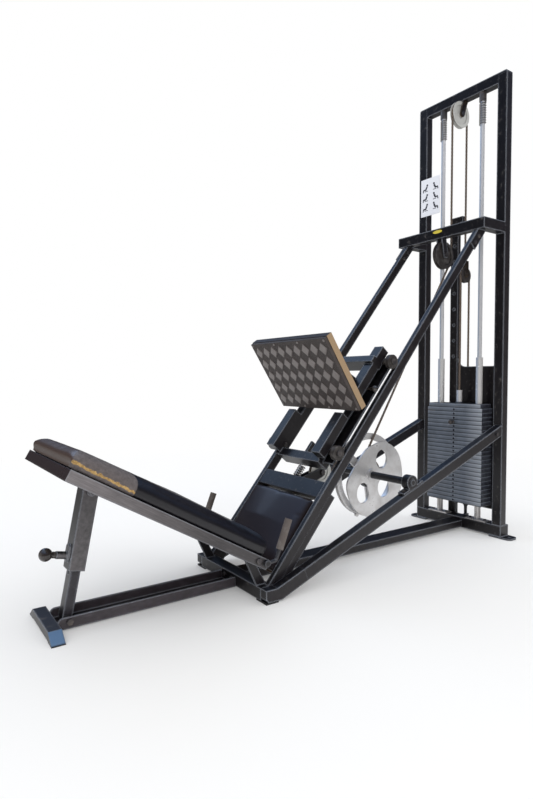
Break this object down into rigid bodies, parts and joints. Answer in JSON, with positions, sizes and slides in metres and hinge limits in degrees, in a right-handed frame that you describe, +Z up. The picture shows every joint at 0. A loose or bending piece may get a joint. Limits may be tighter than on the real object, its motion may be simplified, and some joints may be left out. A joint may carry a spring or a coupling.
{
  "type": "leg press machine",
  "caption": "Inclined cable leg press: a footplate carriage rolls up angled rails and lifts a pinned weight stack in a tall tower; reclined padded backrest and seat.",
  "frame": {"origin": "on the floor under the middle of the machine's length and width", "axes": "+X from the head end of the backrest towards the weight tower, +Y to the lying user's left, +Z up"},
  "size_m": [2.04, 0.576, 2.09],
  "materials": {
    "black_paint": "semi-gloss black enamel with worn edges and scratches",
    "chrome_steel": "polished chrome with brown reflections",
    "silver_paint": "satin silver paint, brown dirt at the rim",
    "plate_grey": "slate grey paint on flat plates",
    "zinc_steel": "dull zinc",
    "brown_steel": "brown tarnished steel",
    "rope": "twisted steel rope in a clear brown sleeve",
    "pale_nylon": "pale grey nylon",
    "black_nylon": "black nylon",
    "knob_black": "glossy ball knob",
    "black_vinyl": "black glossy vinyl",
    "seat_vinyl": "black-brown satin vinyl",
    "plywood": "bare plywood edge",
    "seat_wood": "dark stained board",
    "mat_rubber": "ribbed mat with smooth diamonds",
    "black_rubber": "moulded rubber",
    "card": "laminated card"
  },
  "bodies": {
    "frame": {"tower_frame": "black_paint", "tower_base": "black_paint", "brace_far": "black_paint", "brace_near": "black_paint", "mid_cross_base": "black_paint", "rear_floor_spine": "black_paint", "front_base": "black_paint", "rubber_feet": "black_rubber", "rail_far": "black_paint", "rail_near": "black_paint", "rail_cross_members": "black_paint", "bumper_spring": "zinc_steel", "seat_pad": "seat_vinyl", "seat_board": "seat_wood", "frame_bolts": "zinc_steel", "guide_rods": "chrome_steel", "stack_stop_tubes": "zinc_steel", "top_springs": "zinc_steel", "lower_weight_plates": "plate_grey", "top_pulley_hanger": "brown_steel", "bracket_pulley_hanger": "black_paint", "guided_cables": "rope", "carriage_cable": "rope", "block_lift_cable": "rope", "stem_cable": "rope", "anchor_cable": "rope", "cam_bearings": "black_paint", "pierced_post": "black_paint", "stack_guard": "black_paint", "instruction_card": "card"},
    "carriage": {"carriage_frame": "black_paint", "roller_axles": "zinc_steel"},
    "lower_roller_far": {"lower_roller_far": "black_nylon"},
    "lower_roller_near": {"lower_roller_near": "black_nylon"},
    "upper_roller_far": {"upper_roller_far": "black_nylon"},
    "upper_roller_near": {"upper_roller_near": "black_nylon"},
    "footplate": {"footplate_mat": "mat_rubber", "footplate_board": "plywood", "footplate_bracket": "black_paint"},
    "tilt_knob": {"tilt_knob": "knob_black"},
    "cam": {"cam_plate": "silver_paint", "cable_wheel": "silver_paint", "cam_shaft": "black_paint"},
    "redirect_pulley": {"redirect_pulley": "pale_nylon"},
    "bracket_pulley": {"bracket_pulley": "black_nylon"},
    "top_pulley": {"top_pulley": "pale_nylon"},
    "block": {"block_straps": "brown_steel"},
    "block_pulley": {"block_pulley": "black_nylon"},
    "lifted_stack": {"lifted_weight_plates": "plate_grey", "head_plate": "plate_grey", "stack_stem": "chrome_steel", "rod_sleeves": "zinc_steel"},
    "selector_pin": {"selector_pin": "knob_black"},
    "backrest": {"backrest_frame": "black_paint", "backrest_pad": "black_vinyl", "grip_rods": "zinc_steel", "hand_grips": "black_rubber"},
    "post_tube": {"post_inner_tube": "black_paint"},
    "post_sleeve": {"post_sleeve": "black_paint"},
    "post_pull_pin": {"post_pull_pin": "knob_black"}
  },
  "joints": [
    {"name": "carriage_travel", "type": "slide", "parent": "frame", "child": "carriage", "axis": [0.6421, 0, 0.7666], "range_m": [0, 0.43], "deforming": ["carriage_cable"]},
    {"name": "cam_turn", "type": "hinge", "parent": "frame", "child": "cam", "pos_m": [0.329, 0, 0.325], "axis": [0, -1, 0], "range_deg": [0, 145]},
    {"name": "block_lift", "type": "slide", "parent": "frame", "child": "block", "axis": [0, 0, 1], "range_m": [0, 0.317], "deforming": ["block_lift_cable", "anchor_cable"]},
    {"name": "stack_lift", "type": "slide", "parent": "frame", "child": "lifted_stack", "axis": [0, 0, 1], "range_m": [0, 0.633], "deforming": ["stem_cable"]},
    {"name": "block_pulley_turn", "type": "hinge", "parent": "block", "child": "block_pulley", "pos_m": [0.975, 0, 1.232], "axis": [0, 1, 0], "continuous": true},
    {"name": "top_pulley_turn", "type": "hinge", "parent": "frame", "child": "top_pulley", "pos_m": [0.921, 0, 1.98], "axis": [0, -1, 0], "continuous": true},
    {"name": "bracket_pulley_turn", "type": "hinge", "parent": "frame", "child": "bracket_pulley", "pos_m": [0.809, 0, 1.308], "axis": [0, 1, 0], "continuous": true},
    {"name": "redirect_pulley_turn", "type": "hinge", "parent": "frame", "child": "redirect_pulley", "pos_m": [0.068, 0.014, 0.36], "axis": [0, 1, 0], "continuous": true},
    {"name": "lower_roller_far_turn", "type": "hinge", "parent": "carriage", "child": "lower_roller_far", "pos_m": [-0.02666, 0.195, 0.46647], "axis": [0, 1, 0], "continuous": true},
    {"name": "lower_roller_near_turn", "type": "hinge", "parent": "carriage", "child": "lower_roller_near", "pos_m": [-0.02666, -0.195, 0.46647], "axis": [0, 1, 0], "continuous": true},
    {"name": "upper_roller_far_turn", "type": "hinge", "parent": "carriage", "child": "upper_roller_far", "pos_m": [0.25266, 0.195, 0.79995], "axis": [0, 1, 0], "continuous": true},
    {"name": "upper_roller_near_turn", "type": "hinge", "parent": "carriage", "child": "upper_roller_near", "pos_m": [0.25266, -0.195, 0.79995], "axis": [0, 1, 0], "continuous": true},
    {"name": "footplate_tilt", "type": "hinge", "parent": "carriage", "child": "footplate", "pos_m": [0.12413, 0, 0.64019], "axis": [0, 1, 0], "range_deg": [-10, 10]},
    {"name": "tilt_knob_pull", "type": "slide", "parent": "carriage", "child": "tilt_knob", "axis": [0, -1, 0], "range_m": [0, 0.012]},
    {"name": "selector_pin_pull", "type": "slide", "parent": "lifted_stack", "child": "selector_pin", "axis": [-1, 0, 0], "range_m": [0, 0.053]},
    {"name": "backrest_tilt", "type": "hinge", "parent": "frame", "child": "backrest", "pos_m": [-0.40455, 0, 0.155], "axis": [0, 1, 0], "range_deg": [-5, 5]},
    {"name": "post_swing", "type": "hinge", "parent": "frame", "child": "post_tube", "pos_m": [-0.946, 0, 0.024], "axis": [0, 1, 0], "range_deg": [-2.2, 2.2]},
    {"name": "post_slide", "type": "slide", "parent": "post_tube", "child": "post_sleeve", "axis": [0.198, 0, 0.9802], "range_m": [-0.046, 0.046]},
    {"name": "post_pin_pull", "type": "slide", "parent": "post_sleeve", "child": "post_pull_pin", "axis": [-0.9802, 0, 0.198], "range_m": [0, 0.014]}
  ],
  "couplings": [
    {"joint": "cam_turn", "follows": "carriage_travel", "rad_per_m": 5.8824},
    {"joint": "block_lift", "follows": "carriage_travel", "ratio": 0.73529},
    {"joint": "stack_lift", "follows": "carriage_travel", "ratio": 1.4706},
    {"joint": "block_pulley_turn", "follows": "carriage_travel", "rad_per_m": 22.978},
    {"joint": "top_pulley_turn", "follows": "carriage_travel", "rad_per_m": 13.617},
    {"joint": "bracket_pulley_turn", "follows": "carriage_travel", "rad_per_m": 12.677},
    {"joint": "redirect_pulley_turn", "follows": "carriage_travel", "rad_per_m": 21.739},
    {"joint": "lower_roller_far_turn", "follows": "carriage_travel", "rad_per_m": 35.714},
    {"joint": "lower_roller_near_turn", "follows": "carriage_travel", "rad_per_m": 35.714},
    {"joint": "upper_roller_far_turn", "follows": "carriage_travel", "rad_per_m": 35.714},
    {"joint": "upper_roller_near_turn", "follows": "carriage_travel", "rad_per_m": 35.714},
    {"joint": "post_swing", "follows": "backrest_tilt", "ratio": 0.38582},
    {"joint": "post_slide", "follows": "backrest_tilt", "m_per_rad": 0.50479}
  ]
}
